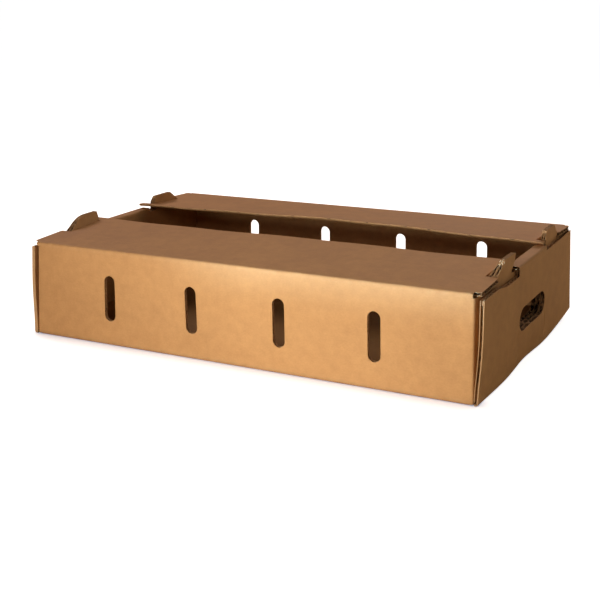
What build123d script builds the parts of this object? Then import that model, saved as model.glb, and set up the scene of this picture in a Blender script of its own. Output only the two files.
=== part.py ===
from build123d import *
import os
from math import atan2, degrees

# Corrugated tray folded from one die-cut sheet: roll-over ends, stacking tabs and two top flaps.
# Millimetres. X runs along the tray, Y across it and Z up; the floor's underside is Z = 0.

# Overall sizes
length = 500.0               # over the two end panels
width = 300.0                # over the front and back walls
rim_height = 103.0           # top of the roll-over ends
board = 4.0                  # single-wall corrugated board
ply_gap = 0.4                # air between two plies that lie against each other
fold_radius = 3.8            # outside of a folded edge

# Vents in the front and back walls
vent_count = 4
vent_pitch = 100.0
vent_width = 14.0
vent_height = 48.5
vent_middle = 51.0           # height of the vents' middle above the table

# End walls
hand_hole_length = 86.0
hand_hole_height = 24.0
hand_hole_middle = 47.5      # height of the hand holes' middle above the table
roll_half = 46.0             # half the length of the roll-over fold
edge_setback = 0.5           # end panel's raw side edges, back from the wall's face
rim_drop = 5.5               # end panel's rim under a flap, down from the roll-over's top
dip_drop = 9.5               # bottom of the cut the tabs were taken from
dip_shift = 4.0              # run of the slope from the rim into the dip, past the tab
dip_corner = 3.0             # rounding of that cut
centre_gap = 2.0             # between the two corner flaps, at the middle of the end

# Stacking tabs, on the corner flap and the inner panel alike
tab_slit = 1.0               # cut between a tab and the roll-over fold
tab_length = 57.0            # along the end, at the foot
tab_crest = 35.0             # along the end, from the upright side to the end of the flat top
tab_rise = 13.5              # above the roll-over
tab_shoulder = 1.5           # height of the slope's lower end above the roll-over
tab_chamfer = 5.0            # cut corner on the upright side
tab_corner = 2.5             # rounding of the tab's corners

# Top flaps
finger_lap = 6.0             # how far a flap's end fingers lie over the roll-over
notch_clear = 1.2            # around the tabs, in the flap's notch
corner_cut = 6.0             # depth of the cut at each end of a flap's fold
corner_step = 2.0            # fold's end, in from the wrapped corner
flap_corner = 2.0            # rounding of the flap's corners
rest_gap = 0.1               # between a closed flap and the roll-over it lies on

# Places that follow from the sizes above
half_length = length / 2
half_width = width / 2
wall_inside = half_width - board
seam = rim_height - board                        # wall's top edge, where the flap folds
ply_top = seam - ply_gap
ply_bottom = board + ply_gap
panel_x = half_length - board                    # inside of the outer end panel
wrap_x = panel_x - ply_gap                       # outside of the wrapped corner
corner_flap_x = wrap_x - board
inner_panel_x = corner_flap_x - ply_gap - board
tab_start = roll_half + tab_slit
tab_end = tab_start + tab_length
tab_top = rim_height + tab_rise
flap_depth = half_width - roll_half + finger_lap
flap_tilt = degrees(atan2(board + rest_gap, half_width - roll_half))


def block(x_range, y_range, z_range):
    """Box between two limits on each axis."""
    low = (x_range[0], y_range[0], z_range[0])
    size = (x_range[1] - x_range[0], y_range[1] - y_range[0], z_range[1] - z_range[0])
    return Pos(*low) * Box(*size, align=(Align.MIN, Align.MIN, Align.MIN))


def ply(outline, inside_x):
    """Upright board of an end wall: an outline in (y, z) with its inside face at inside_x."""
    face = make_face(Plane.YZ * Polyline(*outline, close=True))
    crest = face.vertices().filter_by(lambda v: v.Z > rim_height + tab_shoulder + 0.1)
    if crest:
        face = fillet(crest, tab_corner)
    return extrude(Pos(inside_x, 0, 0) * face, amount=board, dir=(1, 0, 0))


def mirrored(points):
    """The same outline points on the other side of the end, in the opposite order."""
    return [(-y, z) for y, z in reversed(points)]


# Outline of a tab from its foot near the corner to its foot near the roll-over
tab_outline = [
    (tab_end, ply_top),
    (tab_end, rim_height + tab_shoulder),
    (tab_start + tab_crest, tab_top),
    (tab_start + tab_chamfer, tab_top),
    (tab_start, tab_top - tab_chamfer),
    (tab_start, ply_top),
]


def long_wall():
    """Front wall with its bottom fold, wrapped corners and vents."""
    wall = block((-wrap_x, wrap_x), (-half_width, -wall_inside), (0, seam))
    outer = wall.edges().filter_by_position(Axis.Y, -half_width - 0.1, -half_width + 0.1)
    wall = fillet([e for e in outer if e.center().Z < seam - 0.1], fold_radius)
    vent = extrude(Plane.XZ * SlotOverall(vent_height, vent_width, rotation=90), amount=width, both=True)
    for i in range(vent_count):
        x = (i - (vent_count - 1) / 2) * vent_pitch
        wall -= Pos(x, 0, vent_middle) * vent
    return wall


def corner_flap():
    """Flap wrapped from the front wall's corner, between the two end panels, with its tab."""
    outline = [
        (wall_inside, ply_bottom),
        (wall_inside, ply_top),
        *tab_outline,
        (centre_gap / 2, ply_top),
        (centre_gap / 2, ply_bottom),
    ]
    return ply([(-y, z) for y, z in outline], corner_flap_x)


def end_panels():
    """Outer panel, roll-over top and inner panel of the end wall at +X."""
    side = half_width - edge_setback
    rim = rim_height - rim_drop
    dip = rim_height - dip_drop
    outer_half = [
        (side, 0),
        (side, rim),
        (tab_end + dip_shift, rim),
        (tab_start + tab_crest, dip),
        (roll_half, dip),
        (roll_half, rim_height),
    ]
    outer = make_face(Plane.YZ * Polyline(*outer_half, *mirrored(outer_half), close=True))
    cut_corners = outer.vertices().filter_by(lambda v: dip - 0.1 < v.Z < rim - 0.1)
    outer = fillet(cut_corners, dip_corner)
    outer = extrude(Pos(panel_x, 0, 0) * outer, amount=board, dir=(1, 0, 0))
    foot = outer.edges().filter_by(Axis.Y).group_by(Axis.Z)[0].sort_by(Axis.X)[-1]
    outer = fillet(foot, fold_radius)

    inner_side = wall_inside - ply_gap
    inner_half = [
        (inner_side, ply_bottom),
        (inner_side, ply_top),
        *tab_outline,
        (roll_half, ply_top),
        (roll_half, seam),
    ]
    inner = ply([*inner_half, *mirrored(inner_half)], inner_panel_x)

    top = block((inner_panel_x, half_length), (-roll_half, roll_half), (seam, rim_height))
    wall = outer + inner + top
    folds = wall.edges().filter_by(Axis.Y).group_by(Axis.Z)
    rolled = [e for group in folds for e in group if abs(e.center().Z - rim_height) < 0.01]
    return fillet([e for e in rolled if abs(e.length - 2 * roll_half) < 0.1], fold_radius)


def tray():
    """The whole folded sheet below the two top flaps."""
    front = long_wall() + corner_flap() + mirror(corner_flap(), about=Plane.YZ)
    end = end_panels()
    floor = block((-panel_x, panel_x), (-wall_inside, wall_inside), (0, board))
    body = floor + front + mirror(front, about=Plane.XZ) + end + mirror(end, about=Plane.YZ)
    across = hand_hole_length
    hole = extrude(Plane.YZ * SlotOverall(across, hand_hole_height), amount=length, both=True)
    return body - Pos(0, 0, hand_hole_middle) * hole


def flap():
    """Front top flap, lying closed on the roll-over ends."""
    nose = [
        Line((0, 0), (flap_depth, 0)),
        Line((flap_depth, 0), (flap_depth, board)),
        Line((flap_depth, board), (board, board)),
        RadiusArc((board, board), (0, 0), -board),
    ]
    section = make_face(Plane.YZ * Curve(nose))
    plate = extrude(section, amount=half_length, both=True)
    notch_far = half_width - (tab_start - notch_clear)
    notch_near = half_width - (tab_end + notch_clear)
    notch_x = inner_panel_x - notch_clear
    fold_end = wrap_x - corner_step
    outline = [
        (fold_end, 0),
        (fold_end, corner_cut),
        (half_length, corner_cut),
        (half_length, notch_near),
        (notch_x, notch_near),
        (notch_x, notch_far),
        (half_length, notch_far),
        (half_length, flap_depth),
    ]
    other_end = [(-x, y) for x, y in reversed(outline)]
    face = make_face(Polyline(*outline, *other_end, close=True))
    corners = face.vertices().filter_by(lambda v: v.Y > 0.1)
    blank = extrude(fillet(corners, flap_corner), amount=board)
    return Pos(0, -half_width, seam) * Rot(flap_tilt, 0, 0) * (plate & blank)


os.makedirs("parts", exist_ok=True)
front_flap = flap()
export_step(tray(), "parts/tray_body.step")
export_step(front_flap, "parts/front_flap.step")
export_step(mirror(front_flap, about=Plane.XZ), "parts/back_flap.step")
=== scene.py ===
"""Looks of a folded corrugated tray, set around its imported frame.

Lengths are metres. +X runs along the tray, +Y from its front wall to its back wall, +Z up, and the floor's
underside is z = 0. Every panel is a sheet of board laid out in (u, v), with w from its inside face to its outside
face.
"""

import logging
from collections.abc import Callable
from dataclasses import dataclass, field
from enum import Enum

import bpy
import numpy as np
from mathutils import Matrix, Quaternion, Vector


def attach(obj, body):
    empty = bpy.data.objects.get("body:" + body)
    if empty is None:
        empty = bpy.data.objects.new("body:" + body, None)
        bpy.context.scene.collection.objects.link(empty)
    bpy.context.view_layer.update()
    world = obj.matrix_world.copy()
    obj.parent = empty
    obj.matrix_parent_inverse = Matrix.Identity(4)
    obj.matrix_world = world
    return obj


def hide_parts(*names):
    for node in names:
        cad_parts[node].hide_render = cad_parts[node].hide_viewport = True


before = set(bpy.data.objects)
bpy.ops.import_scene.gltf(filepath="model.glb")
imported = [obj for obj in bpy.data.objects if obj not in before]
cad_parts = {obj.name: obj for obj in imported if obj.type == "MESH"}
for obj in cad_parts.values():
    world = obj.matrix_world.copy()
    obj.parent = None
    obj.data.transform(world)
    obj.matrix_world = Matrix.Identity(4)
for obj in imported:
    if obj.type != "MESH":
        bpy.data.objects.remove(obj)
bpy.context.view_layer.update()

LOG = logging.getLogger("tray")
MM = 0.001
SLIVER = 1e-11  # square metres; a smaller face is left out
Array = np.ndarray
Locate = Callable[[Array, Array, Array], Array]
Pair = tuple[float, float]
Triple = tuple[float, float, float]
Material = bpy.types.Material
Socket = bpy.types.NodeSocket

# The ten points of a cut section, from the inside face to the outside face: liner, hollow, medium, hollow, liner
HOLLOW = np.array([0, 0, 1, 1, 0, 0, 1, 1, 0, 0])  # those at the back of a hollow
MEDIUM = np.array([0, 0, 0, 0, 1, 1, 0, 0, 0, 0])  # the medium's two
RAGGED = np.array([0, 1, 0, 0, 1, 1, 0, 0, 1, 0])  # those that the die left ragged


class Skin(Enum):
    """Finish of a face of the board, as its place in a piece's list of materials."""

    LINER = 0
    INSIDE = 1
    CUT = 2


class Flutes(Enum):
    """Direction of the flutes in a panel's own plane."""

    ALONG_U = 0
    ALONG_V = 1


class Side(Enum):
    """Which of two like sub-assemblies: the one on the axis's low side or on its high side."""

    LOW = -1
    HIGH = 1


def ramp(value: Array, start: float | Array, run: float | Array) -> Array:
    """0 up to a start, then rising evenly to 1 over a run."""
    return np.clip((value - start) / run, 0, 1)


def by_end(x: Array, pair: Pair) -> Array:
    """The low end's value or the high end's, by the sign of x."""
    return np.where(x > 0, pair[1], pair[0])


def places(x: Array, y: Array, z: Array) -> Array:
    """Places from their three coordinates, broadcast together."""
    return np.stack(np.broadcast_arrays(x, y, z), axis=-1)


def lengths(line: Array) -> Array:
    """Length along a polyline at each of its points."""
    return np.concatenate([[0.0], np.cumsum(np.linalg.norm(np.diff(line, axis=0), axis=1))])


def units(ways: Array) -> Array:
    """The same directions with length 1."""
    return ways / np.linalg.norm(ways, axis=1, keepdims=True)


def rounded(corners: Array, radius: float | Array) -> Array:
    """Round the inner corners of a polyline.

    Each corner B becomes the curve (1-t)^2 A + 2t(1-t) B + t^2 C, where A and C lie `radius` before and after it.

    Args:
        corners: Polyline points, shape (n, 2).
        radius: Length taken off each side of a corner, or one for each inner corner, shape (n - 2, 1).

    Returns:
        The rounded polyline.
    """
    middle = corners[1:-1]
    start = (middle + radius * units(corners[:-2] - middle))[:, None]
    end = (middle + radius * units(corners[2:] - middle))[:, None]
    t = np.linspace(0, 1, 7)[None, :, None]
    curve = (1 - t) ** 2 * start + 2 * t * (1 - t) * middle[:, None] + t**2 * end
    return np.concatenate([corners[:1], curve.reshape(-1, 2), corners[-1:]])


def spaced(corners: Array, step: float) -> Array:
    """Points along a polyline: its own corners, and even steps of length between them.

    Args:
        corners: Polyline points, shape (n, 2).
        step: Spacing along the line.

    Returns:
        Points in order along the line, no two closer than a hundredth of a millimetre.
    """
    run = lengths(corners)
    even = np.linspace(0, run[-1], max(int(run[-1] / step), 2) + 1)
    at = np.unique(np.round(np.concatenate([run, even]), 5))
    return np.stack([np.interp(at, run, corners[:, k]) for k in (0, 1)], axis=1)


def straight(start: float, end: float, height: float, step: float) -> Array:
    """Points along an edge at one height, from a start to an end along u, about a step apart."""
    return spaced(np.array([(start, height), (end, height)]), step)


def slot_top(size: Pair, middle: Pair, end: float) -> Array:
    """Upper edge of a round-ended slot, from its left end to its right end.

    With half sizes a and b and r the smaller: a quarter ellipse about (end-a, b-r) with half axes `end` and r, a
    straight run, and the same ellipse mirrored.

    Args:
        size: Slot's size along u and along v.
        middle: Slot's middle in (u, v).
        end: Length along u over which an end is rounded.

    Returns:
        Points of the edge, shape (n, 2).
    """
    a, b = size[0] / 2, size[1] / 2
    r = min(a, b)
    turn = np.linspace(0, np.pi / 2, 12)
    left = np.stack([end - a - end * np.cos(turn), b - r + r * np.sin(turn)], axis=1)
    run = np.linspace(end - a, a - end, 16)[1:-1] if a > end else np.empty(0)
    flat = np.stack([run, np.full_like(run, b)], axis=1)
    right = left[::-1] * (-1, 1)
    return np.concatenate([left, flat, right]) + middle


def under(edge: Array, middle: float) -> Array:
    """Lower edge of the slot that has this upper edge about a middle height."""
    return edge * (1, -1) + (0, 2 * middle)


def level(edge: Array, height: float) -> Array:
    """Straight edge at one height, with a point below or above each point of another edge."""
    return np.stack([edge[:, 0], np.full(len(edge), height)], axis=1)


def footing(edge: Array, height: float) -> Array:
    """Straight edge at one height between the ends of another edge, with as many points, evenly spaced."""
    return level(np.linspace(edge[0], edge[-1], len(edge)), height)


def handed(edge: Array, sign: int) -> Array:
    """The edge itself for the sign 1; for -1 the same edge mirrored along u and run the other way."""
    return edge if sign > 0 else (edge * (-1, 1))[::-1]


@dataclass(frozen=True)
class Board:
    """Single-wall corrugated board: its papers and flutes, and how it cuts and wears."""

    thick: float = 4.0 * MM
    liner: float = 0.55 * MM
    medium: float = 0.45 * MM
    pitch: float = 7.6 * MM
    recess: float = 5.0 * MM
    shut_recess: float = 0.04  # share of the recess left in a crushed hollow
    medium_recess: float = 0.08  # share of the recess by which the medium lies back
    ragged: float = 0.12 * MM
    ragged_waves: Triple = (1900, 800, 3700)  # radians per metre
    sample: float = 0.8 * MM
    wear_reach: float = 2 * MM
    inside_wear: float = 0.5  # of the outside liner's

    @property
    def arc(self) -> float:
        """Run of board taken up by a quarter-turn fold, at mid thickness."""
        return self.thick / 2 * np.pi / 2

    @property
    def fold_start(self) -> float:
        """Place along a panel at which its fold starts, when the fold ends at the board's thickness."""
        return self.thick - self.arc


@dataclass(frozen=True)
class Cut:
    """How an edge came out of the die: open or crushed, and how much painted shade darkens it.

    Attributes:
        gape: Share of the edge where the hollows are open; above 1 all of it is.
        dark: Painted shade in an open hollow, as its darkness.
        cut_shade: Painted shade over the whole cut, as its darkness.
        shut: Height v above which the cut is crushed shut.
    """

    gape: float = -0.2
    dark: float = 3.0
    cut_shade: float = 0.0
    shut: float = np.inf

    def opened(self, run: Array, height: Array, phase: float) -> Array:
        """Openness of the hollows, 0 to 1: two waves along the run, above 0.9 - 2·gape, and below `shut`."""
        beat = 0.6 * np.sin(run * 270 + phase) + 0.4 * np.sin(run * 690 + 1.3)
        return ramp(beat, 0.9 - 2 * self.gape, 1 / 3) * ramp(-height, -self.shut, 2 * MM)


@dataclass(frozen=True)
class Fold:
    """Board in section: a straight start, then quarter-turn folds with straight runs between them.

    All folds turn towards the inside face, which pinches to a point at each of them.
    """

    board: Board
    corner: Pair
    first: float
    runs: tuple[float, ...] = ()
    square: float = 0.55

    def section(self, run: Array, lift: Array) -> tuple[Array, Array]:
        """Place of a point in the plane of the section.

        The inside face moves along the heading in straight runs and stands still in folds, and the point stands
        `lift` off it, square to the heading. The heading starts along +a and turns by run/(thick/2) in a fold,
        where the sine and cosine of the turn are raised to the power `square`, which draws the fold towards a
        corner.

        Args:
            run: Length along the board; the first fold ends at `first`.
            lift: Distance from the inside face.

        Returns:
            The two coordinates (a, b) in the plane.
        """
        arc = self.board.arc
        begin = self.first - arc
        start = np.minimum(run - begin, 0)
        a, b = self.corner[0] + start, self.corner[1] + 0 * start
        turned = 0 * start
        heading = 0.0
        for length in (*self.runs, np.inf):
            turned = turned + ramp(run, begin, arc) * np.pi / 2
            heading += np.pi / 2
            moved = np.clip(run - begin - arc, 0, length)
            a = a + moved * round(np.cos(heading))
            b = b + moved * round(np.sin(heading))
            begin += arc + length
        across, along = np.round(np.sin(turned), 9), np.round(np.cos(turned), 9)
        across, along = (np.sign(s) * np.abs(s) ** self.square for s in (across, along))
        return a + lift * across, b - lift * along


@dataclass(frozen=True)
class Plan:
    """Sizes of the folded tray."""

    board: Board = field(default_factory=Board)
    length: float = 500 * MM
    width: float = 300 * MM
    rim: float = 103 * MM
    ply_gap: float = 0.4 * MM
    fold_gap: float = 0.04 * MM
    rest_gap: float = 0.1 * MM
    vent_places: tuple[float, ...] = (-150 * MM, -50 * MM, 50 * MM, 150 * MM)
    vent_size: Pair = (13.2 * MM, 49 * MM)
    vent_middle: float = 51 * MM
    hand_hole: Pair = (86 * MM, 24 * MM)
    hand_end: float = 15 * MM
    hand_middle: float = 47.5 * MM
    roll_half: float = 46 * MM
    edge_setback: float = 0.5 * MM
    rim_drop: float = 5.5 * MM
    dip_drop: Pair = (9.5 * MM, 5.0 * MM)
    dip: Pair = (82 * MM, 108 * MM)
    dip_round: float = 2.5 * MM
    centre_gap: float = 2 * MM
    tab_slit: float = 4 * MM
    tab_length: float = 51 * MM
    tab_trim: float = 4 * MM
    tab_crest: float = 30 * MM
    tab_rise: float = 14.5 * MM
    tab_shoulder: float = 1.5 * MM
    tab_chamfer: float = 0.6 * MM
    tab_undercut: float = 9 * MM
    tab_corner: float = 0.5 * MM
    tab_round: float = 10 * MM
    tab_sunk: float = 6 * MM
    tab_open: float = 0.8
    finger_lap: float = 6 * MM
    flap_nick: float = 1.5 * MM
    notch: Pair = (48.2 * MM, 100.6 * MM)
    notch_clear: float = 1.2 * MM
    corner_step: float = 2 * MM

    @property
    def seam(self) -> float:
        """Height of the long walls and the end panels, where the flaps and the roll-overs fold."""
        return self.rim - self.board.thick

    @property
    def brow(self) -> float:
        """Top edge of a long wall, a hairline below its flap."""
        return self.seam - self.fold_gap

    @property
    def ply_top(self) -> float:
        """Top of the plies under the roll-over."""
        return self.seam - self.ply_gap

    @property
    def ply_bottom(self) -> float:
        """Foot of the plies that stand on the floor."""
        return self.board.thick + self.ply_gap

    @property
    def wall_inside(self) -> float:
        """Inside face of a long wall, from the middle."""
        return self.width / 2 - self.board.thick

    @property
    def panel_x(self) -> float:
        """Inside face of an outer end panel, from the middle."""
        return self.length / 2 - self.board.thick

    @property
    def flap_x(self) -> float:
        """Inside face of a corner flap, from the middle."""
        return self.panel_x - self.ply_gap - self.board.thick

    @property
    def inner_x(self) -> float:
        """Inside face of an inner end panel, from the middle."""
        return self.flap_x - self.ply_gap - self.board.thick

    @property
    def roll_flat(self) -> float:
        """Flat top of a roll-over, between its two folds."""
        return self.panel_x - self.inner_x - self.board.thick

    @property
    def tab_root(self) -> float:
        """Height at which a tab's faces start, sunk into its panel's."""
        return self.ply_top - self.tab_sunk

    @property
    def tab_cut(self) -> Cut:
        """Cut round a tab: open, crushed shut near the crest, and darkened by painted shade."""
        return Cut(1.1, cut_shade=0.35, shut=self.rim + self.tab_open * self.tab_rise)

    def upturn(self, inside: float, *runs: float) -> Fold:
        """Section of a panel folded up from the floor, from its inside face's distance and its later runs."""
        return Fold(self.board, (inside, self.board.thick), self.board.thick, runs)

    @property
    def end_fold(self) -> Fold:
        """Section of an end: up from the floor, over the plies and down."""
        return self.upturn(self.panel_x, self.seam - self.board.thick, self.roll_flat)

    def hand_edges(self) -> tuple[Array, Array]:
        """Upper and lower edge of a hand hole, about the middle of its end."""
        top = slot_top(self.hand_hole, (0.0, self.hand_middle), self.hand_end)
        return top, under(top, self.hand_middle)

    def tab(self, end: Side, wall: Side) -> Array:
        """Outline of a tab in (u, v), from its foot near the corner to its foot near the roll-over.

        The high end's front tab is trimmed at its foot, and the low end's front tab has a rounder crest.

        Args:
            end: Which end of the tray it stands on.
            wall: Which long wall it stands near.

        Returns:
            Outline points, with the upper corners rounded.
        """
        top, start = self.rim + self.tab_rise, self.roll_half + self.tab_slit
        foot = start + self.tab_length
        if end is Side.HIGH and wall is Side.LOW:
            foot = foot - self.tab_trim
        corners = [
            (foot, self.ply_top),
            (foot, self.rim + self.tab_shoulder),
            (start + self.tab_crest, top),
            (start + self.tab_chamfer, top),
            (start, top - self.tab_chamfer),
            (start, self.rim + self.tab_rise / 2),
            (start + self.tab_undercut, self.ply_top),
        ]
        radii = np.full(len(corners) - 2, self.tab_corner)
        if end is Side.LOW and wall is Side.LOW:
            radii[1] = self.tab_round
        return rounded(np.array(corners), radii[:, None])


class Surface:
    """Grids of points gathered into one mesh, with the values that its finishes read."""

    def __init__(self) -> None:
        """Start with no grids."""
        self.grids: list[tuple[Array, ...]] = []
        self.count = 0

    def add(self, points: Array, outward: Array, skin: Skin, flute: Array, wear_and_shade: Array, smooth: bool) -> None:
        """Add a grid of points as quads that face outwards.

        Quad (i, j) joins points (i, j), (i+1, j), (i+1, j+1) and (i, j+1). The grid is turned over where its
        quads' normals, summed, lie against the outward direction.

        Args:
            points: Places, shape (n, m, 3).
            outward: Direction out of the board, broadcastable to the points.
            skin: Finish of the faces.
            flute: Place across the flutes at each point, shape (n, m).
            wear_and_shade: Rubbing on a liner and painted shade on a cut face, at each point, 0 for none, shape
                (n, m).
            smooth: Whether the faces are shaded as one curved surface.
        """
        index = self.count + np.arange(points[..., 0].size).reshape(points.shape[:2])
        quads = np.stack([index[:-1, :-1], index[1:, :-1], index[1:, 1:], index[:-1, 1:]], axis=-1)
        normal = np.cross(points[1:, 1:] - points[:-1, :-1], points[:-1, 1:] - points[1:, :-1])
        facing = np.sum(normal * np.broadcast_to(outward, points.shape)[:-1, :-1])
        kept = quads[np.linalg.norm(normal, axis=-1) > SLIVER]
        kept = kept if facing > 0 else kept[:, ::-1]
        skins, shading = np.full(len(kept), skin.value), np.full(len(kept), smooth)
        flute, wear_and_shade = (np.broadcast_to(given, points.shape[:2]).reshape(-1) for given in (flute, wear_and_shade))
        self.grids.append((points.reshape(-1, 3), kept, skins, shading, flute, wear_and_shade))
        self.count += points[..., 0].size

    def piece(self, name: str, materials: list[Material]) -> bpy.types.Object:
        """Make the mesh object.

        Args:
            name: Name of the piece.
            materials: One material per Skin, in its order.

        Returns:
            The object, at the origin.
        """
        mesh = bpy.data.meshes.new(name)
        points, quads, skins, shading, flute, wear_and_shade = map(np.concatenate, zip(*self.grids))
        mesh.from_pydata(points.tolist(), [], quads.tolist())
        for material in materials:
            mesh.materials.append(material)
        mesh.polygons.foreach_set("material_index", skins.astype(np.int32))
        mesh.polygons.foreach_set("use_smooth", shading)
        for key, values in (("flute", flute), ("wear_and_shade", wear_and_shade)):
            layer = mesh.attributes.new(key, "FLOAT", "POINT")
            layer.data.foreach_set("value", values.astype(np.float32))
        mesh.update()
        made = bpy.data.objects.new(name, mesh)
        bpy.context.collection.objects.link(made)
        return made


@dataclass(frozen=True)
class Panel:
    """A panel of board, skinned and cut into a surface.

    `locate` gives the place of (u, v, w), with w from the inside face to the outside face.
    """

    surface: Surface
    board: Board
    locate: Locate
    flutes: Flutes

    def across(self, flat: Array) -> Array:
        """Place across the flutes of points in (u, v)."""
        return flat[..., 1] if self.flutes is Flutes.ALONG_U else flat[..., 0]

    def skin(self, lower: Array, upper: Array, steps: int = 14, worn_and_shaded: Pair = (0.0, 0.0)) -> None:
        """Lay both liners between two edges that have as many points.

        Point (i, j) is lower(i) + s(j)·(upper(i) - lower(i)), with s = (1 - cos(pi·j/steps))/2, so the rows crowd
        near both edges. Wear falls off as exp(-distance/wear_reach) from an edge.

        Args:
            lower: First edge in (u, v), shape (n, 2).
            upper: Second edge, shape (n, 2).
            steps: Rows of quads between them.
            worn_and_shaded: Wear at the first edge and at the second.
        """
        s = (1 - np.cos(np.pi * np.arange(steps + 1) / steps)) / 2
        way = upper - lower
        flat = lower[:, None] + s[None, :, None] * way[:, None]
        whole = np.linalg.norm(way, axis=1)[:, None]
        first, last = (np.exp(-whole * share / self.board.wear_reach) for share in (s, 1 - s))
        wear_and_shade = np.maximum(worn_and_shaded[0] * first, worn_and_shaded[1] * last)
        inside, outside = (
            self.locate(flat[..., 0], flat[..., 1], np.full_like(wear_and_shade, w)) for w in (0.0, self.board.thick)
        )
        flute = self.across(flat)
        self.surface.add(outside, outside - inside, Skin.LINER, flute, wear_and_shade, True)
        self.surface.add(inside, inside - outside, Skin.INSIDE, flute, wear_and_shade * self.board.inside_wear, True)

    def rim(self, corners: Array, cut: Cut) -> None:
        """Carry the board's cut section along an edge, with the board on the left of the way.

        The section is liner, hollow, fluted medium, hollow, liner. The medium's middle lies at
        thick/2 + swing·sin(2·pi·c/pitch), with c the place across the flutes, so a cut across them shows waves
        and a cut along them one straight sheet. The hollows go `recess` back into the board where the cut left
        them open, and painted shade darkens them, besides a painted shade over the whole cut. Three fine waves
        leave the papers' edges ragged.

        Args:
            corners: Edge in (u, v), shape (n, 2).
            cut: How the edge came out of the die.
        """
        board = self.board
        path = spaced(corners, board.sample)
        tangent = units(np.gradient(path, axis=0))
        inward = np.stack([-tangent[:, 1], tangent[:, 0]], axis=1)
        c = self.across(path)
        swing = board.thick / 2 - board.liner - board.medium / 2
        middle = board.thick / 2 + swing * np.sin(2 * np.pi * c / board.pitch)
        low, high = middle - board.medium / 2, middle + board.medium / 2
        first, last = board.liner, board.thick - board.liner
        section = (0.0, first, first, low, low, high, high, last, last, board.thick)
        lift = np.stack(np.broadcast_arrays(*section), axis=1)
        opened = cut.opened(lengths(path), path[:, 1], phase=corners[0, 0] * 90)[:, None]
        recess = board.recess * (board.shut_recess + (1 - board.shut_recess) * opened)
        turns = board.ragged_waves
        ragged = np.sin(c * turns[0] + path[:, 0] * turns[1]) + np.sin(path.sum(axis=1) * turns[2])
        depth = (HOLLOW + board.medium_recess * MEDIUM) * recess + RAGGED * board.ragged * ragged[:, None]
        flat = path[:, None] + inward[:, None] * depth[..., None]
        points = self.locate(flat[..., 0], flat[..., 1], lift)
        edge, behind = (self.locate(at[:, :1], at[:, 1:], lift[:, 4:5]) for at in (path, path + inward * MM))
        # painted shade: darkens the open hollows, and the whole cut, through the CUT finish
        wear_and_shade = np.maximum(cut.dark * opened * HOLLOW, cut.cut_shade)
        self.surface.add(points, edge - behind, Skin.CUT, self.across(flat), wear_and_shade, False)

    def slot(self, upper: Array, lower: Array, reach: Pair, cut: Cut, worn_and_shaded: Pair = (0.0, 0.0)) -> None:
        """Lay the liners below and above a slot, and cut its edge.

        Args:
            upper: Slot's upper edge in (u, v), shape (n, 2).
            lower: Its lower edge, with as many points.
            reach: Heights down to which and up to which the liners go.
            cut: How the edge came out of the die.
            worn_and_shaded: Wear at those heights.
        """
        self.skin(upper, level(upper, reach[1]), worn_and_shaded=(0.0, worn_and_shaded[1]))
        self.skin(level(lower, reach[0]), lower, worn_and_shaded=(worn_and_shaded[0], 0.0))
        self.rim(np.concatenate([upper, lower[::-1], upper[:1]]), cut)

    def crease(self, start: float, end: float, height: float) -> None:
        """Close a folded edge with one plain strip between the two liners, with the board on the left of the way.

        Point (i, j) is at place i along the edge and at w = j·thick/2.

        Args:
            start: First end of the edge along u.
            end: Last end of the edge along u.
            height: Place of the edge along v.
        """
        path = straight(start, end, height, 6 * MM)
        u, v, w = np.broadcast_arrays(path[:, :1], path[:, 1:], np.linspace(0, self.board.thick, 3))
        points = self.locate(u, v, w)
        behind = self.locate(u, v + np.sign(end - start) * MM, w)
        self.surface.add(points, points - behind, Skin.LINER, v, np.ones_like(w), False)


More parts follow.
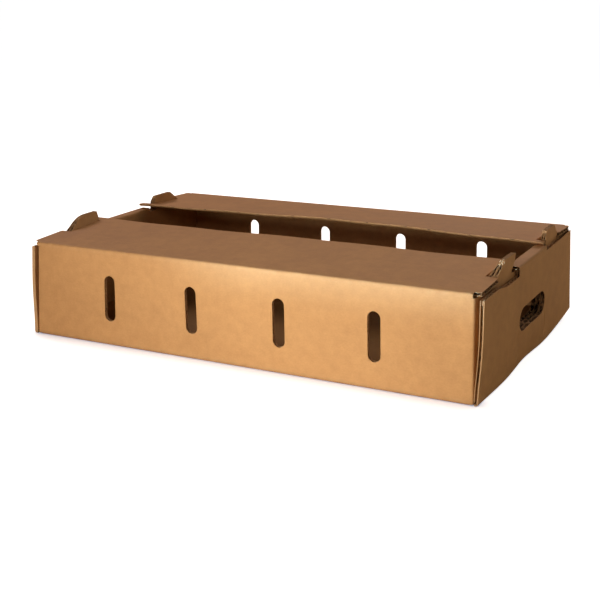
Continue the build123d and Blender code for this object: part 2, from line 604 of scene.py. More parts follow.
@dataclass(frozen=True)
class Slack:
    """How the folded board has sprung out of true; a plain pair is for the low end and the high end."""

    bow: float = 3.6 * MM
    bow_run: float = 100 * MM
    splay_foot: Pair = (0.5 * MM, 0.0)
    splay_top: Pair = (4.0 * MM, 4.2 * MM)
    splay_rise: float = 40 * MM
    front_lean: Pair = (0.08, 0.10)
    back_lean: Pair = (-0.50, 0.15)
    pinch: float = 0.52
    tight_pinch: Pair = (-10 * MM, 18 * MM)  # the high end's back tab: start from the plies' top, and run
    shear: Pair = (3.0 * MM, 6.5 * MM)  # the low end's top in, and its foot out
    dent: float = 4.0 * MM
    dent_place: Pair = (-12 * MM, 45 * MM)  # middle along y, and half width
    dent_rise: float = 50 * MM
    corner_out: float = 2.4 * MM
    corner_run: Pair = (60 * MM, 90 * MM)  # start along y, and run
    corner_lift: float = 7.5 * MM
    lift_run: Pair = (30 * MM, 120 * MM)  # start along y, and run
    lift_rise: float = 60 * MM
    wave: float = 0.35 * MM
    calm: float = 8 * MM  # flat strip of a long wall below its fold

    @staticmethod
    def ripple(x: Array, z: Array) -> Array:
        """Two waves over a long wall, about 170 mm and 90 mm long."""
        return np.sin(x * 37 + 0.6) * np.sin(z * 45 + 1) + 0.6 * np.sin(x * 71 + z * 30)

    def tabs(self, points: Array, plan: Plan) -> Array:
        """How far the tabs move out.

        A tab's plies draw together towards its crest, and each tab leans by its own slope above the plies' top.

        Args:
            points: Places, shape (..., 3).
            plan: Sizes of the tray.

        Returns:
            Distance for each place, 0 beside the tabs.
        """
        x, y, z = np.moveaxis(points, -1, 0)
        beyond = np.abs(y) > plan.roll_half + plan.tab_slit / 2
        tight = (x > 0) & (y > 0)
        start = plan.ply_top + np.where(tight, self.tight_pinch[0], plan.board.thick)
        close = self.pinch * ramp(z, start, np.where(tight, self.tight_pinch[1], plan.tab_rise))
        inward = np.maximum(plan.panel_x - plan.ply_gap - np.abs(x), 0)
        lean = np.where(y < 0, by_end(x, self.front_lean), by_end(x, self.back_lean))
        return beyond * (close * inward + lean * np.maximum(z - plan.ply_top, 0))

    def walls(self, points: Array, plan: Plan) -> Array:
        """Move the folded sheet as the whole tray has sprung.

        An end moves out by bow·(1 - (2y/width)^2), faded in over bow_run, and its tabs on their own. The low end
        is sheared. The high end's foot is dented, and its back corner stands out and lifts off the table. A long
        wall moves across by wave times its ripple, which dies out at the table and in the calm strip.

        Args:
            points: Places, shape (..., 3).
            plan: Sizes of the tray.

        Returns:
            The moved places.
        """
        x, y, z = np.moveaxis(points, -1, 0)
        half = plan.length / 2
        fade = ramp(np.abs(x), half - self.bow_run, self.bow_run) ** 2
        high, low_down = fade * (x > 0), 1 - z / plan.rim
        out = fade * self.bow * (1 - (2 * y / plan.width) ** 2) + self.tabs(points, plan)
        dented = np.exp(-(((y - self.dent_place[0]) / self.dent_place[1]) ** 2))
        out = out - high * self.dent * dented * (1 - ramp(z, 0, self.dent_rise)) ** 2
        out = out + high * self.corner_out * ramp(y, *self.corner_run) ** 2 * low_down
        slant = self.shear[0] * z / plan.rim - self.shear[1] * low_down
        slant = slant * ramp(-x, 0, half) ** 2
        side = ramp(np.abs(y), 0, plan.width / 2) ** 6
        rise = np.clip(np.sin(np.pi * z / (plan.seam - self.calm)), 0, 1)
        wave = self.wave * side * rise * self.ripple(x, z)
        near = ramp(x, 0, half) ** 4 * ramp(y, *self.lift_run) ** 2
        lift = self.corner_lift * near * (1 - ramp(z, 0, self.lift_rise)) ** 2
        return places(x + np.sign(x) * out + slant, y + np.sign(y) * wave, z + lift)

    def outer_end(self, points: Array, plan: Plan) -> Array:
        """Splay the front edge of an outer end panel off the wrapped corner, besides the bow of the whole end.

        The panel moves out by (2y/width)^2 on its front half, times a splay that goes from the foot's to the
        top's by 1 - exp(-(z/splay_rise)^2).

        Args:
            points: Places, shape (..., 3).
            plan: Sizes of the tray.

        Returns:
            The moved places.
        """
        x, y, z = np.moveaxis(points, -1, 0)
        foot, top = by_end(x, self.splay_foot), by_end(x, self.splay_top)
        most = foot + (top - foot) * (1 - np.exp(-((z / self.splay_rise) ** 2)))
        out = most * ramp(-y, 0, plan.width / 2) ** 2
        return self.walls(places(x + np.sign(x) * out, y, z), plan)


@dataclass
class Part:
    """A sub-assembly, built of panels on a surface of its own."""

    plan: Plan
    surface: Surface = field(default_factory=Surface, init=False)

    def panel(self, locate: Locate, flutes: Flutes) -> Panel:
        """A panel of this part."""
        return Panel(self.surface, self.plan.board, locate, flutes)

    def dress(self, name: str, materials: list[Material]) -> bpy.types.Object:
        """Make the piece from what was built, with one material per Skin."""
        return self.surface.piece(name, materials)


@dataclass
class LongWall(Part):
    """Front or back wall with its bottom fold, vents and wrapped corner flaps with their tabs."""

    slack: Slack
    side: Side

    def upright(self, u: Array, v: Array, w: Array) -> Array:
        """Place on the wall: x along u, and its section folded up from the floor along v."""
        out, up = self.plan.upturn(self.plan.wall_inside).section(v, w)
        return self.slack.walls(places(u, self.side.value * out, up), self.plan)

    def wrapped(self, end: Side) -> Locate:
        """Place on a corner flap, as a function of its run from the wall's middle, its height and w.

        Args:
            end: Which end of the wall the flap is on.

        Returns:
            The function that places it.
        """
        plan = self.plan
        fold = Fold(plan.board, (plan.flap_x, -plan.wall_inside), plan.flap_x + plan.board.arc)

        def locate(u: Array, v: Array, w: Array) -> Array:
            """Place of (u, v, w): the section folded round the corner, raised to height v."""
            x, y = fold.section(u, w)
            return self.slack.walls(places(end.value * x, -self.side.value * y, v), plan)

        return locate

    def build(self) -> None:
        """Lay the wall's faces around its vents, cut the vents and close its folds."""
        plan, board = self.plan, self.plan.board
        panel = self.panel(self.upright, Flutes.ALONG_U)
        half = plan.vent_size[0] / 2
        edges = [-plan.flap_x, *(p + s * half for p in plan.vent_places for s in (-1, 1)), plan.flap_x]
        for left, right in zip(edges[::2], edges[1::2]):
            low = straight(left, right, board.thick, 6 * MM)
            panel.skin(low, level(low, plan.brow), worn_and_shaded=(0.6, 0.6))
        for place in plan.vent_places:
            top = slot_top(plan.vent_size, (place, plan.vent_middle), half)
            low = under(top, plan.vent_middle)
            # painted shade on the vents' cut edges
            panel.slot(top, low, (board.thick, plan.brow), Cut(0.1, cut_shade=0.35), worn_and_shaded=(0.6, 0.6))
        low = straight(-plan.flap_x, plan.flap_x, board.fold_start, 6 * MM)
        panel.skin(low, level(low, board.thick), steps=8, worn_and_shaded=(1.0, 1.0))
        panel.crease(plan.flap_x, -plan.flap_x, plan.brow)
        for end in Side:
            self.build_flap(end)

    def build_flap(self, end: Side) -> None:
        """Lay a corner flap, its bend, its tab and its half of the hand hole.

        Args:
            end: Which end of the wall it is on.
        """
        plan, board = self.plan, self.plan.board
        panel = self.panel(self.wrapped(end), Flutes.ALONG_U)
        middle = plan.flap_x + board.arc + plan.wall_inside
        tip = middle - plan.centre_gap / 2
        bend = straight(plan.flap_x, plan.flap_x + board.arc + MM, MM, 0.5 * MM)
        panel.skin(bend, level(bend, plan.ply_top), worn_and_shaded=(0.5, 0.5))
        hole, _ = plan.hand_edges()
        hole = hole[hole[:, 0] < -plan.centre_gap / 2] + (middle, 0)
        hole = np.concatenate([hole, [(tip, hole[-1, 1])]])
        sill = under(hole, plan.hand_middle)
        low = straight(bend[-1, 0], hole[0, 0], plan.ply_bottom, 6 * MM)
        panel.skin(low, level(low, plan.ply_top))
        panel.skin(hole, level(hole, plan.ply_top))
        panel.skin(level(sill, plan.ply_bottom), sill)
        # painted shade on the hand hole's cut edge
        panel.rim(np.concatenate([sill[::-1], hole]), Cut(0.8, cut_shade=1.3))
        tab = (plan.tab(end, self.side) * (-1, 1) + (middle, 0))[::-1]
        crest = spaced(tab, 2 * MM)
        panel.skin(footing(crest, plan.tab_root), crest)
        before, after = [(tip, hole[-1, 1]), (tip, plan.ply_top)], [(plan.flap_x, plan.ply_top)]
        panel.rim(np.concatenate([before, tab, after]), plan.tab_cut)


@dataclass
class EndWall(Part):
    """Three-ply end: outer panel, roll-over top and inner panel with its tabs."""

    slack: Slack
    side: Side
    raw_edge: Cut

    def outer(self, u: Array, v: Array, w: Array) -> Array:
        """Place on the outer panel and the roll-over: u along the end, and its section along v."""
        out, up = self.plan.end_fold.section(v, w)
        return self.slack.outer_end(places(self.side.value * out, self.side.value * u, up), self.plan)

    def inner(self, u: Array, v: Array, w: Array) -> Array:
        """Place on the inner panel, which stands flat: u along the end, v up and w out from its inside face."""
        x = self.side.value * (self.plan.inner_x + w)
        return self.slack.walls(places(x, self.side.value * u, v), self.plan)

    def crown(self, side: float, drop: float) -> Array:
        """Top edge of half the outer panel in (u, v), from its raw edge to the roll-over.

        Args:
            side: Place of the raw edge along the end.
            drop: Depth of the cut in front of the tab, below the roll-over's top.

        Returns:
            Outline points, with the inner corners rounded.
        """
        plan = self.plan
        rim, dip = plan.rim - plan.rim_drop, plan.rim - drop
        corners = [
            (side, rim),
            (plan.dip[1], rim),
            (plan.dip[0], dip),
            (plan.roll_half, dip),
            (plan.roll_half, plan.seam),
        ]
        return rounded(np.array(corners), min(plan.dip_round, (plan.seam - dip) / 2))

    def build(self) -> None:
        """Lay the outer panel around its hand hole, the roll-over and the inner panel."""
        plan, board = self.plan, self.plan.board
        panel = self.panel(self.outer, Flutes.ALONG_V)
        side = plan.width / 2 - plan.edge_setback
        over = plan.seam + 2 * board.arc + plan.roll_flat
        for sign in (1, -1):
            top = self.crown(side, plan.dip_drop[int(sign * self.side.value > 0)])
            edge = spaced(np.concatenate([top, [(plan.hand_hole[0] / 2, plan.seam)]]), 3 * MM) * (sign, 1)
            panel.skin(level(edge, board.thick), edge, worn_and_shaded=(0.7, 0.2))
            upright = np.array([(side, board.fold_start), (side, top[0, 1])])
            panel.rim(handed(upright, sign), self.raw_edge)
            panel.rim(handed(np.concatenate([top, [(plan.roll_half, over)]]), sign), Cut(1.2))
        # painted shade on the hand hole's cut edge
        panel.slot(*plan.hand_edges(), (board.thick, plan.seam), Cut(0.8, cut_shade=0.9), worn_and_shaded=(0.7, 0.6))
        low = straight(-side, side, board.fold_start, 4 * MM)
        panel.skin(low, level(low, board.thick), steps=8, worn_and_shaded=(1.0, 1.0))
        roll = straight(-plan.roll_half, plan.roll_half, plan.seam, 3 * MM)
        panel.skin(roll, level(roll, over), steps=26, worn_and_shaded=(0.8, 0.8))
        self.build_inner()

    def build_inner(self) -> None:
        """Lay the inner panel with its two tabs."""
        plan = self.plan
        panel = self.panel(self.inner, Flutes.ALONG_V)
        side = plan.wall_inside - plan.ply_gap
        for sign in (1, -1):
            low = straight(side, plan.hand_hole[0] / 2, plan.ply_bottom, 6 * MM) * (sign, 1)
            panel.skin(low, level(low, plan.ply_top))
            tab = plan.tab(self.side, Side(sign * self.side.value))
            crest = spaced(tab, 2 * MM) * (sign, 1)
            panel.skin(footing(crest, plan.tab_root), crest)
            before, after = [(side, plan.ply_bottom), (side, plan.ply_top)], [(plan.roll_half, plan.ply_top)]
            panel.rim(handed(np.concatenate([before, tab, after]), sign), plan.tab_cut)
        # painted shade on the inner hand hole's cut edge
        panel.slot(*plan.hand_edges(), (plan.ply_bottom, plan.seam), Cut(0.8, cut_shade=1.3))
        panel.rim(np.array([(-side, plan.ply_bottom), (side, plan.ply_bottom)]), Cut(1.2))


@dataclass
class Floor(Part):
    """Flat bottom of the tray, between its four folds."""

    slack: Slack

    def flat(self, u: Array, v: Array, w: Array) -> Array:
        """Place on the floor: x along u, y along v, and w down from its upper face."""
        return self.slack.walls(places(u, v, self.plan.board.thick - w), self.plan)

    def build(self) -> None:
        """Lay the floor's two faces."""
        plan = self.plan
        panel = self.panel(self.flat, Flutes.ALONG_U)
        low = straight(-plan.panel_x, plan.panel_x, -plan.wall_inside, 8 * MM)
        panel.skin(low, level(low, plan.wall_inside), steps=30, worn_and_shaded=(0.5, 0.5))


@dataclass
class TopFlap(Part):
    """Top flap hinged on a long wall, with a notch at each end for the tabs."""

    side: Side
    arch: float
    sway: float
    notch_gains: Pair
    corner_cuts: Pair
    fingers: Pair
    crush: float = 0.75
    crush_run: float = 4 * MM

    @property
    def depth(self) -> float:
        """From the fold to the flap's free edge."""
        return self.plan.width / 2 - self.plan.roll_half + self.plan.finger_lap

    @staticmethod
    def ripple(u: Array) -> Array:
        """Two slow waves along the free edge, about 300 mm and 115 mm long."""
        return np.sin(u * 21 + 0.8) + 0.5 * np.sin(u * 55 + 2.1)

    def closed(self, u: Array, v: Array, w: Array) -> Array:
        """Place on the closed flap.

        The section starts up the wall, folds over and rises at the closed tilt about the hinge line. The free edge
        is lifted by (v/depth)^2 times arch·(1 - (2u/length)^2) and sway times its ripple. The underside is crushed
        towards the top along the free edge, by crush·exp(-(depth - v)/crush_run).

        Args:
            u: Place along the fold.
            v: Distance from the fold.
            w: Distance from the underside.

        Returns:
            Places, shape (..., 3).
        """
        plan, thick = self.plan, self.plan.board.thick
        crushed = self.crush * np.exp(-np.maximum(self.depth - v, 0) / self.crush_run)
        lift, inward = plan.upturn(0.0).section(v, thick - (thick - w) * (1 - crushed))
        tilt = np.arctan2(thick + plan.rest_gap, plan.width / 2 - plan.roll_half)
        free = self.arch * (1 - (2 * u / plan.length) ** 2) + self.sway * self.ripple(u)
        free = free * ramp(v, 0, self.depth) ** 2
        y = plan.width / 2 - (inward * np.cos(tilt) - lift * np.sin(tilt))
        z = plan.seam + inward * np.sin(tilt) + lift * np.cos(tilt) + free
        return places(u, self.side.value * y, z)

    def build(self) -> None:
        """Lay the flap between its notches and cut its outline."""
        plan, board = self.plan, self.plan.board
        panel = self.panel(self.closed, Flutes.ALONG_U)
        fold_end = plan.flap_x + board.thick - plan.corner_step
        notches = [plan.inner_x - plan.notch_clear + gain for gain in self.notch_gains]
        middle = straight(-notches[0], notches[1], board.thick, 5 * MM)
        panel.skin(middle, level(middle, self.depth), steps=24, worn_and_shaded=(0.6, 0.2))
        nose = straight(-fold_end, fold_end, board.fold_start, 5 * MM)
        panel.skin(nose, level(nose, board.thick), steps=8, worn_and_shaded=(0.9, 0.9))
        ends = zip((-1, 1), self.corner_cuts, self.fingers, notches)
        left, right = (self.build_end(panel, *end, fold_end) for end in ends)
        # painted shade on the cut edges at the flap's corners
        panel.rim(right[:6], Cut(1.2, cut_shade=0.6))
        panel.rim(left[5::-1], Cut(1.2, cut_shade=0.6))
        panel.rim(np.concatenate([right[5:], left[:4:-1]]), Cut(0.1))
        panel.crease(-fold_end, fold_end, board.fold_start)

    def build_end(
        self, panel: Panel, sign: int, cut: float, finger: float, notch: float, fold_end: float
    ) -> Array:
        """Lay one end of the flap: the wing before the notch and the finger beyond it.

        Args:
            panel: Panel that receives it.
            sign: Which end, -1 or 1.
            cut: Depth of the cut at the end of the fold.
            finger: Place of the finger's end along the fold.
            notch: Place of the notch's bottom along the fold.
            fold_end: Place of the fold's end.

        Returns:
            The end's outline from the fold to the free edge, in (u, v).
        """
        plan, board = self.plan, self.plan.board
        end, nick, turn = plan.length / 2, plan.flap_nick, (sign, 1)
        near, far = plan.notch
        near = near + (plan.tab_trim if sign > 0 and self.side is Side.LOW else 0.0)
        root = straight(notch, fold_end, board.thick, 2 * MM)
        panel.skin(root * turn, level(root, near) * turn, worn_and_shaded=(0.6, 0.0))
        wing = np.array([(fold_end, cut), (end - nick, cut), (end, cut + nick)])
        brim = np.array([(fold_end, near), (end - nick, near), (end, near - nick)])
        panel.skin(wing * turn, brim * turn)
        base = np.array([(notch, far), (finger - nick, far), (finger, far + nick)])
        tip = np.array([(notch, self.depth), (finger - nick, self.depth), (finger, self.depth - nick)])
        panel.skin(base * turn, tip * turn, steps=6)
        start = [(fold_end, board.fold_start)]
        way = [start, wing, brim[:0:-1], [(notch, near), (notch, far)], base[1:], tip[:0:-1]]
        return np.concatenate(way) * turn


class Tree:
    """Short forms for building a shader's node tree."""

    def __init__(self, nodes: bpy.types.NodeTree) -> None:
        """Hold the tree to build in."""
        self.nodes = nodes

    def feed(self, node: bpy.types.Node, inputs: dict[str | int, object]) -> None:
        """Link or set a node's inputs.

        Args:
            node: Node to feed.
            inputs: A socket, a colour, a vector or a number for each input, by its name or place.
        """
        for key, value in inputs.items():
            end = node.inputs[key]
            if isinstance(value, Socket):
                self.nodes.links.new(value, end)
            else:
                end.default_value = (*value, 1.0) if end.type == "RGBA" else value

    def add(self, kind: str, inputs: dict[str | int, object], **values: object) -> bpy.types.Node:
        """Add a node.

        Args:
            kind: Node type, without its ShaderNode prefix.
            inputs: What to feed it.
            **values: Properties to set on it.

        Returns:
            The node.
        """
        node = self.nodes.nodes.new(kind if kind.startswith("Node") else "ShaderNode" + kind)
        for key, value in values.items():
            setattr(node, key, value)
        self.feed(node, inputs)
        return node

    def math(self, operation: str, first: object, second: object = 0.0) -> Socket:
        """Result of a Math node on two sockets or numbers."""
        return self.add("Math", {0: first, 1: second}, operation=operation).outputs[0]

    def times(self, first: object, second: object) -> Socket:
        """Product of two sockets or numbers."""
        return self.math("MULTIPLY", first, second)

    def plus(self, first: object, second: object) -> Socket:
        """Sum of two sockets or numbers."""
        return self.math("ADD", first, second)

    def minus(self, first: object, second: object) -> Socket:
        """Difference of two sockets or numbers."""
        return self.math("SUBTRACT", first, second)

    def spread(self, value: Socket, low: float, high: float) -> Socket:
        """Stretch the range low to high over 0 to 1, clamped."""
        return self.add("MapRange", {"Value": value, "From Min": low, "From Max": high}).outputs["Result"]

    def mix(self, amount: object, first: object, second: object) -> Socket:
        """Mix two colours, as sockets or values, from the first at amount 0 to the second at 1."""
        return self.add("Mix", {0: amount, 6: first, 7: second}, data_type="RGBA").outputs[2]

    def noise(self, place: Socket, scale: float, detail: float) -> Socket:
        """Noise value at a place, with features of about 1/scale metres."""
        return self.add("TexNoise", {"Vector": place, "Scale": scale, "Detail": detail}).outputs[0]


class Group(Tree):
    """A shader node group: what it is given, and the node that takes its results."""

    def __init__(self, name: str, inputs: dict[str, str], outputs: tuple[str, ...]) -> None:
        """Make the group with its sockets.

        Args:
            name: Name of the group.
            inputs: Socket type of each input.
            outputs: Names of its outputs, which are numbers.
        """
        super().__init__(bpy.data.node_groups.new(name, "ShaderNodeTree"))
        for way, sockets in (("INPUT", inputs), ("OUTPUT", dict.fromkeys(outputs, "Float"))):
            for key, kind in sockets.items():
                self.nodes.interface.new_socket(key, in_out=way, socket_type="NodeSocket" + kind)
        self.given = self.add("NodeGroupInput", {}).outputs
        self.result = self.add("NodeGroupOutput", {})


def grain_group() -> bpy.types.NodeTree:
    """Paper grain: slow mottling, fine fibre and scattered specks.

    Returns:
        Group with Tone (0 dark to 1 light), Speck (mask) and Height outputs.
    """
    tree = Group("paper_grain", {"Place": "Vector"}, ("Tone", "Speck", "Height"))
    place = tree.given["Place"]
    slow = tree.spread(tree.noise(place, scale=16, detail=3), 0.32, 0.68)
    cloud = tree.spread(tree.noise(place, scale=100, detail=4), 0.3, 0.7)
    stretched = tree.add("Mapping", {"Vector": place, "Scale": (0.7, 1.0, 1.0)}).outputs[0]
    fibre = tree.spread(tree.noise(stretched, scale=620, detail=3), 0.3, 0.7)
    tone = tree.plus(tree.times(slow, 0.32), tree.times(cloud, 0.4))
    tone = tree.plus(tone, tree.times(fibre, 0.28))
    cells = tree.add("TexVoronoi", {"Vector": place, "Scale": 170}).outputs
    shade = tree.add("SeparateColor", {0: cells["Color"]}).outputs[0]
    reach = tree.times(tree.minus(shade, 0.6), 0.4)
    ragged = tree.minus(reach, tree.times(fibre, 0.12))
    speck = tree.spread(tree.minus(ragged, cells["Distance"]), 0.0, 0.1)
    tree.feed(tree.result, {"Tone": tone, "Speck": speck, "Height": fibre})
    return tree.nodes


def washboard_group() -> bpy.types.NodeTree:
    """Faint ridges of the liner over the flutes.

    The ridge is (1 + sin(2·pi·place/pitch))/2, strengthened and weakened by slow noise.

    Returns:
        Group with a Ridge output, 0 to 1.
    """
    tree = Group("washboard", {"Across": "Float", "Pitch": "Float", "Place": "Vector"}, ("Ridge",))
    turn = tree.times(tree.math("DIVIDE", tree.given["Across"], tree.given["Pitch"]), 2 * np.pi)
    wave = tree.times(tree.math("SINE", turn), 0.5)
    fade = tree.spread(tree.noise(tree.given["Place"], scale=11, detail=2), 0.3, 0.65)
    tree.feed(tree.result, {"Ridge": tree.plus(tree.times(wave, fade), 0.5)})
    return tree.nodes


def wear_and_shade_group() -> bpy.types.NodeTree:
    """Rubbed patches on folds, and painted shade on cut rims: the wear_and_shade value broken up by noise.

    Returns:
        Group with a Mask output, 0 for none.
    """
    # the Wear input also carries painted shade on cut faces
    tree = Group("fold_wear_and_rim_shade", {"Wear": "Float", "Place": "Vector"}, ("Mask",))
    patch = tree.spread(tree.noise(tree.given["Place"], scale=140, detail=4), 0.35, 0.75)
    tree.feed(tree.result, {"Mask": tree.times(patch, tree.given["Wear"])})
    return tree.nodes


def new_material(name: str) -> tuple[Material, Tree, bpy.types.Node]:
    """Make a material.

    Args:
        name: Name of the material.

    Returns:
        The material, its tree and its shader node.
    """
    made = bpy.data.materials.new(name)
    made.use_nodes = True
    return made, Tree(made.node_tree), made.node_tree.nodes["Principled BSDF"]


@dataclass(frozen=True)
class KraftFinish:
    """Brown liner paper, or its cut edge."""

    name: str
    pitch: float
    light: Triple
    dark: Triple
    speck: Triple
    # colour of rubbing on liners, and of painted shade on cut faces
    rubbed_and_shade: Triple
    ridge: float = 0.06
    rub_and_shade: float = 0.35
    rough: Pair = (0.70, 0.88)
    specks: float = 0.45
    foot: Pair = (5 * MM, 0.4)  # painted shade along the bottom fold: height, and share of the speck's colour
    corner_shade: float = 0.0  # painted shade: share of the speck's colour in the tray's corners
    corner_shade_x: Pair = (120 * MM, 200 * MM)
    corner_shade_y: Pair = (50 * MM, 130 * MM)
    ridge_relief: float = 0.3
    bump: Pair = (0.5, 0.06 * MM)  # strength and depth
    gloss: float = 0.25

    def material(self, groups: dict[str, bpy.types.NodeTree]) -> Material:
        """Build the material from the shared groups.

        Args:
            groups: The node groups by name.

        Returns:
            The material.
        """
        made, tree, shader = new_material(self.name)
        place = tree.add("TexCoord", {}).outputs["Object"]
        flute, worn_and_shaded = (tree.add("Attribute", {}, attribute_name=key).outputs["Fac"] for key in ("flute", "wear_and_shade"))
        grain = tree.add("Group", {"Place": place}, node_tree=groups["grain"]).outputs
        wear_and_shade = tree.add("Group", {"Place": place, "Wear": worn_and_shaded}, node_tree=groups["wear_and_shade"]).outputs
        given = {"Place": place, "Across": flute, "Pitch": self.pitch}
        board = tree.add("Group", given, node_tree=groups["washboard"]).outputs
        tone = tree.plus(grain["Tone"], tree.times(tree.minus(board["Ridge"], 0.5), self.ridge))
        colour = tree.mix(tone, self.dark, self.light)
        colour = tree.mix(tree.times(grain["Speck"], self.specks), colour, self.speck)
        # rubbing on liners; on cut faces the same mix paints shade
        colour = tree.mix(tree.times(wear_and_shade["Mask"], self.rub_and_shade), colour, self.rubbed_and_shade)
        at = tree.add("SeparateXYZ", {0: place}).outputs
        # painted shade: darker towards the bottom fold, mixed towards the speck's colour
        foot = tree.times(tree.spread(at["Z"], self.foot[0], 0.0), self.foot[1])
        colour = tree.mix(foot, colour, self.speck)
        # painted shade in the tray's corners, mixed towards the speck's colour
        if self.corner_shade:
            beside = tree.spread(tree.math("ABSOLUTE", at["Y"]), *self.corner_shade_y)
            ends = tree.spread(tree.math("ABSOLUTE", at["X"]), *self.corner_shade_x)
            colour = tree.mix(tree.times(tree.times(beside, ends), self.corner_shade), colour, self.speck)
        rough = tree.plus(tree.times(grain["Tone"], self.rough[1] - self.rough[0]), self.rough[0])
        relief = tree.plus(grain["Height"], tree.times(board["Ridge"], self.ridge_relief))
        bump = tree.add("Bump", {"Strength": self.bump[0], "Distance": self.bump[1], "Height": relief})
        tree.feed(shader, {"Base Color": colour, "Roughness": rough, "Normal": bump.outputs[0]})
        tree.feed(shader, {"Specular IOR Level": self.gloss})
        return made


@dataclass(frozen=True)
class Lamp:
    """Soft rectangular light; its spread is in degrees."""

    name: str
    place: Triple
    aim: Triple
    size: Pair
    power: float
    colour: Triple
    spread: float = 180.0

    def build(self) -> None:
        """Put the light in the scene, turned to what it lights."""
        light = bpy.data.lights.new(self.name, "AREA")
        light.shape, light.size, light.size_y = "RECTANGLE", *self.size
        light.energy, light.color = self.power, self.colour
        light.spread = np.radians(self.spread)
        lamp = bpy.data.objects.new(self.name, light)
        lamp.location = self.place
        lamp.visible_camera = False
        lamp.rotation_mode = "QUATERNION"
        lamp.rotation_quaternion = (Vector(self.aim) - Vector(self.place)).to_track_quat("-Z", "Y")
        bpy.context.collection.objects.link(lamp)


@dataclass(frozen=True)
class Studio:
    """Pale floor, soft lights and the camera."""

    eye: Triple = (0.5463, -1.0197, 0.3689)
    ahead: Triple = (-0.46328, 0.8558, -0.23015)
    roll: float = -1.21  # degrees
    lens: float = 65.84
    shift: float = -0.1
    sky: Triple = (0.90, 0.95, 0.85)
    sky_strength: float = 0.006
    sheet_half: float = 30.0
    sheet_drop: float = 0.2 * MM
    paper: tuple[Triple, Triple] = ((0.90, 0.82, 0.69), (0.93, 0.85, 0.72))
    shade: Triple = (0.0, 0.05, 0.16)
    shade_reach: float = 30 * MM
    shade_front: Pair = (-130 * MM, -150 * MM)  # along y
    shade_amounts: Pair = (0.25, 0.95)  # everywhere, and added in front
    lamps: tuple[Lamp, ...] = (
        Lamp("front", (-0.15, -0.95, 0.15), (0.12, -0.15, 0.115), (0.4, 0.16), 0.66, (0.95, 1.0, 0.98), 65.0),
        Lamp("front_close", (0.0, -0.95, 0.2), (0.12, -0.15, 0.12), (0.3, 0.16), 0.155, (0.92, 0.98, 1.0), 50.0),
        Lamp("front_rim", (0.12, -0.95, 0.02), (0.16, -0.15, 0.18), (0.4, 0.02), 0.46, (0.36, 0.65, 1.0), 16.0),
        Lamp("front_high", (0.3, -1.3, 0.8), (0.1, -0.15, 0.08), (0.6, 0.4), 3.3, (1.0, 0.75, 0.6)),
        Lamp("front_left", (-0.45, -1.2, 0.22), (0.0, -0.15, 0.08), (0.5, 0.3), 3.1, (1.0, 0.87, 0.74)),
        Lamp("back", (0.0, 1.9, 0.9), (0.0, 0.0, 0.05), (1.6, 0.5), 16.8, (1.0, 0.80, 0.70)),
        Lamp("left_high", (-1.4, 0.6, 1.2), (-0.1, 0.0, 0.05), (0.8, 0.6), 11.0, (1.0, 0.84, 0.88)),
        Lamp("right", (1.9, 0.4, 0.5), (0.25, 0.0, 0.05), (0.8, 0.6), 3.7, (1.0, 0.97, 0.82)),
    )

    def build(self) -> None:
        """Build the floor, the sky, the lights and the camera."""
        self.ground()
        world = bpy.data.worlds.new("sky")
        world.use_nodes = True
        background = world.node_tree.nodes["Background"]
        Tree(world.node_tree).feed(background, {"Color": self.sky, "Strength": self.sky_strength})
        bpy.context.scene.world = world
        bpy.context.scene.view_settings.view_transform = "Standard"
        for lamp in self.lamps:
            lamp.build()
        camera = bpy.data.cameras.new("camera")
        camera.lens, camera.shift_y = self.lens, self.shift
        camera.clip_end = 200.0
        made = bpy.data.objects.new("camera", camera)
        made.location = self.eye
        made.rotation_mode = "QUATERNION"
        looking = Vector(self.ahead).to_track_quat("-Z", "Y")
        made.rotation_quaternion = looking @ Quaternion((0, 0, 1), np.radians(self.roll))
        bpy.context.collection.objects.link(made)
        bpy.context.scene.camera = made

    def ground(self) -> None:
        """Lay the pale floor; what the camera sees of it is lifted to white, but for the shade by the tray."""
        edge = np.linspace(-self.sheet_half, self.sheet_half, 3)
        x, y = np.meshgrid(edge, edge, indexing="ij")
        surface = Surface()
        points = places(x, y, -self.sheet_drop)
        surface.add(points, np.array([0.0, 0.0, 1.0]), Skin.LINER, 0 * x, 0 * x, False)
        made, tree, shader = new_material("pale_floor")
        place = tree.add("TexCoord", {}).outputs["Object"]
        tone = tree.spread(tree.noise(place, scale=1.5, detail=2), 0.2, 0.8)
        seen = tree.add("LightPath", {}).outputs["Is Camera Ray"]
        near = tree.add("AmbientOcclusion", {"Distance": self.shade_reach}, samples=8).outputs["AO"]
        ahead = tree.spread(tree.add("SeparateXYZ", {0: place}).outputs["Y"], *self.shade_front)
        front = tree.plus(tree.times(ahead, self.shade_amounts[1]), self.shade_amounts[0])
        shade = tree.mix(tree.times(tree.minus(1.0, near), front), (1.0, 1.0, 1.0), self.shade)
        tree.feed(shader, {"Base Color": tree.mix(tone, *self.paper), "Roughness": 0.9})
        tree.feed(shader, {"Emission Color": shade, "Emission Strength": seen})
        surface.piece("floor_sheet", [made])


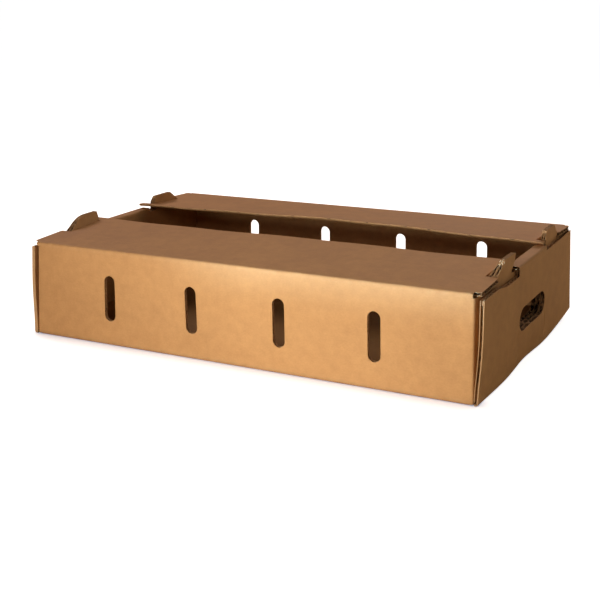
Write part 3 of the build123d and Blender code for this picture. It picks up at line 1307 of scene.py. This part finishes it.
def finishes(pitch: float) -> tuple[list[Material], list[Material]]:
    """Build the board's finishes.

    Args:
        pitch: Spacing of the flutes that the ridges follow.

    Returns:
        One material per Skin, in its order, and the same for the floor, whose darker liner is painted shade.
    """
    groups = {"grain": grain_group(), "washboard": washboard_group(), "wear_and_shade": wear_and_shade_group()}
    outside = KraftFinish(
        "kraft_liner",
        pitch,
        light=(0.62, 0.335, 0.135),
        dark=(0.47, 0.24, 0.09),
        speck=(0.22, 0.11, 0.045),
        rubbed_and_shade=(0.64, 0.40, 0.20),
        ridge=0.04,
    )
    inside = KraftFinish(
        "kraft_inner_liner",
        pitch,
        light=(0.60, 0.345, 0.15),
        dark=(0.46, 0.25, 0.10),
        speck=(0.22, 0.12, 0.055),
        rubbed_and_shade=(0.62, 0.41, 0.22),
    )
    # painted shade: the floor's liner is darker than the inside liner, and darker still in the corners
    floor_shaded = KraftFinish(
        "kraft_floor_painted_shade",
        pitch,
        light=(0.53, 0.305, 0.10),
        dark=(0.41, 0.22, 0.065),
        speck=(0.10, 0.05, 0.02),
        rubbed_and_shade=(0.55, 0.36, 0.18),
        corner_shade=0.8,
    )
    raw = KraftFinish(
        "kraft_cut_edge",
        pitch,
        light=(0.62, 0.38, 0.19),
        dark=(0.44, 0.26, 0.12),
        speck=(0.25, 0.14, 0.07),
        # painted shade: on cut faces this colour darkens the open hollows and whole cuts
        rubbed_and_shade=(0.07, 0.036, 0.015),
        ridge=0.0,
        rub_and_shade=0.9,
        rough=(0.85, 0.95),
    )
    liner, inner, floor, cut = (finish.material(groups) for finish in (outside, inside, floor_shaded, raw))
    return [liner, inner, cut], [liner, floor, cut]


def main() -> None:
    """Build the tray's pieces in order, then the studio."""
    logging.basicConfig(level=logging.INFO, format="%(message)s")
    plan, slack = Plan(), Slack()
    materials, floor_materials = finishes(plan.board.pitch)
    walls = {
        "floor_panel": Floor(plan, slack),
        "front_wall": LongWall(plan, slack, Side.LOW),
        "back_wall": LongWall(plan, slack, Side.HIGH),
        "left_end": EndWall(plan, slack, Side.LOW, Cut()),
        # painted shade in the open hollows of the right end's raw edge
        "right_end": EndWall(plan, slack, Side.HIGH, Cut(1.3, dark=1.2)),
    }
    flaps = {
        "front_flap": TopFlap(
            plan,
            Side.LOW,
            arch=0.3 * MM,
            sway=0.5 * MM,
            notch_gains=(1.1 * MM, 1.1 * MM),
            corner_cuts=(4.5 * MM, 6 * MM),
            fingers=(250 * MM, 241 * MM),
        ),
        "back_flap": TopFlap(
            plan,
            Side.HIGH,
            arch=4.0 * MM,
            sway=0.7 * MM,
            notch_gains=(0.4 * MM, 4.2 * MM),
            corner_cuts=(4.2 * MM, 6 * MM),
            fingers=(250 * MM, 250 * MM),
        ),
    }
    for name, part in (*walls.items(), *flaps.items()):
        part.build()
        is_flap = name in flaps
        chosen = floor_materials if name == "floor_panel" else materials
        made = part.dress(f"{name}_board" if is_flap else name, chosen)
        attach(made, name if is_flap else "tray")
        if is_flap:
            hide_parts(name)
        elif name == "floor_panel":
            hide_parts("tray_body")
        LOG.info("%s: %d faces", made.name, len(made.data.polygons))
    Studio().build()


if __name__ == "__main__":
    main()
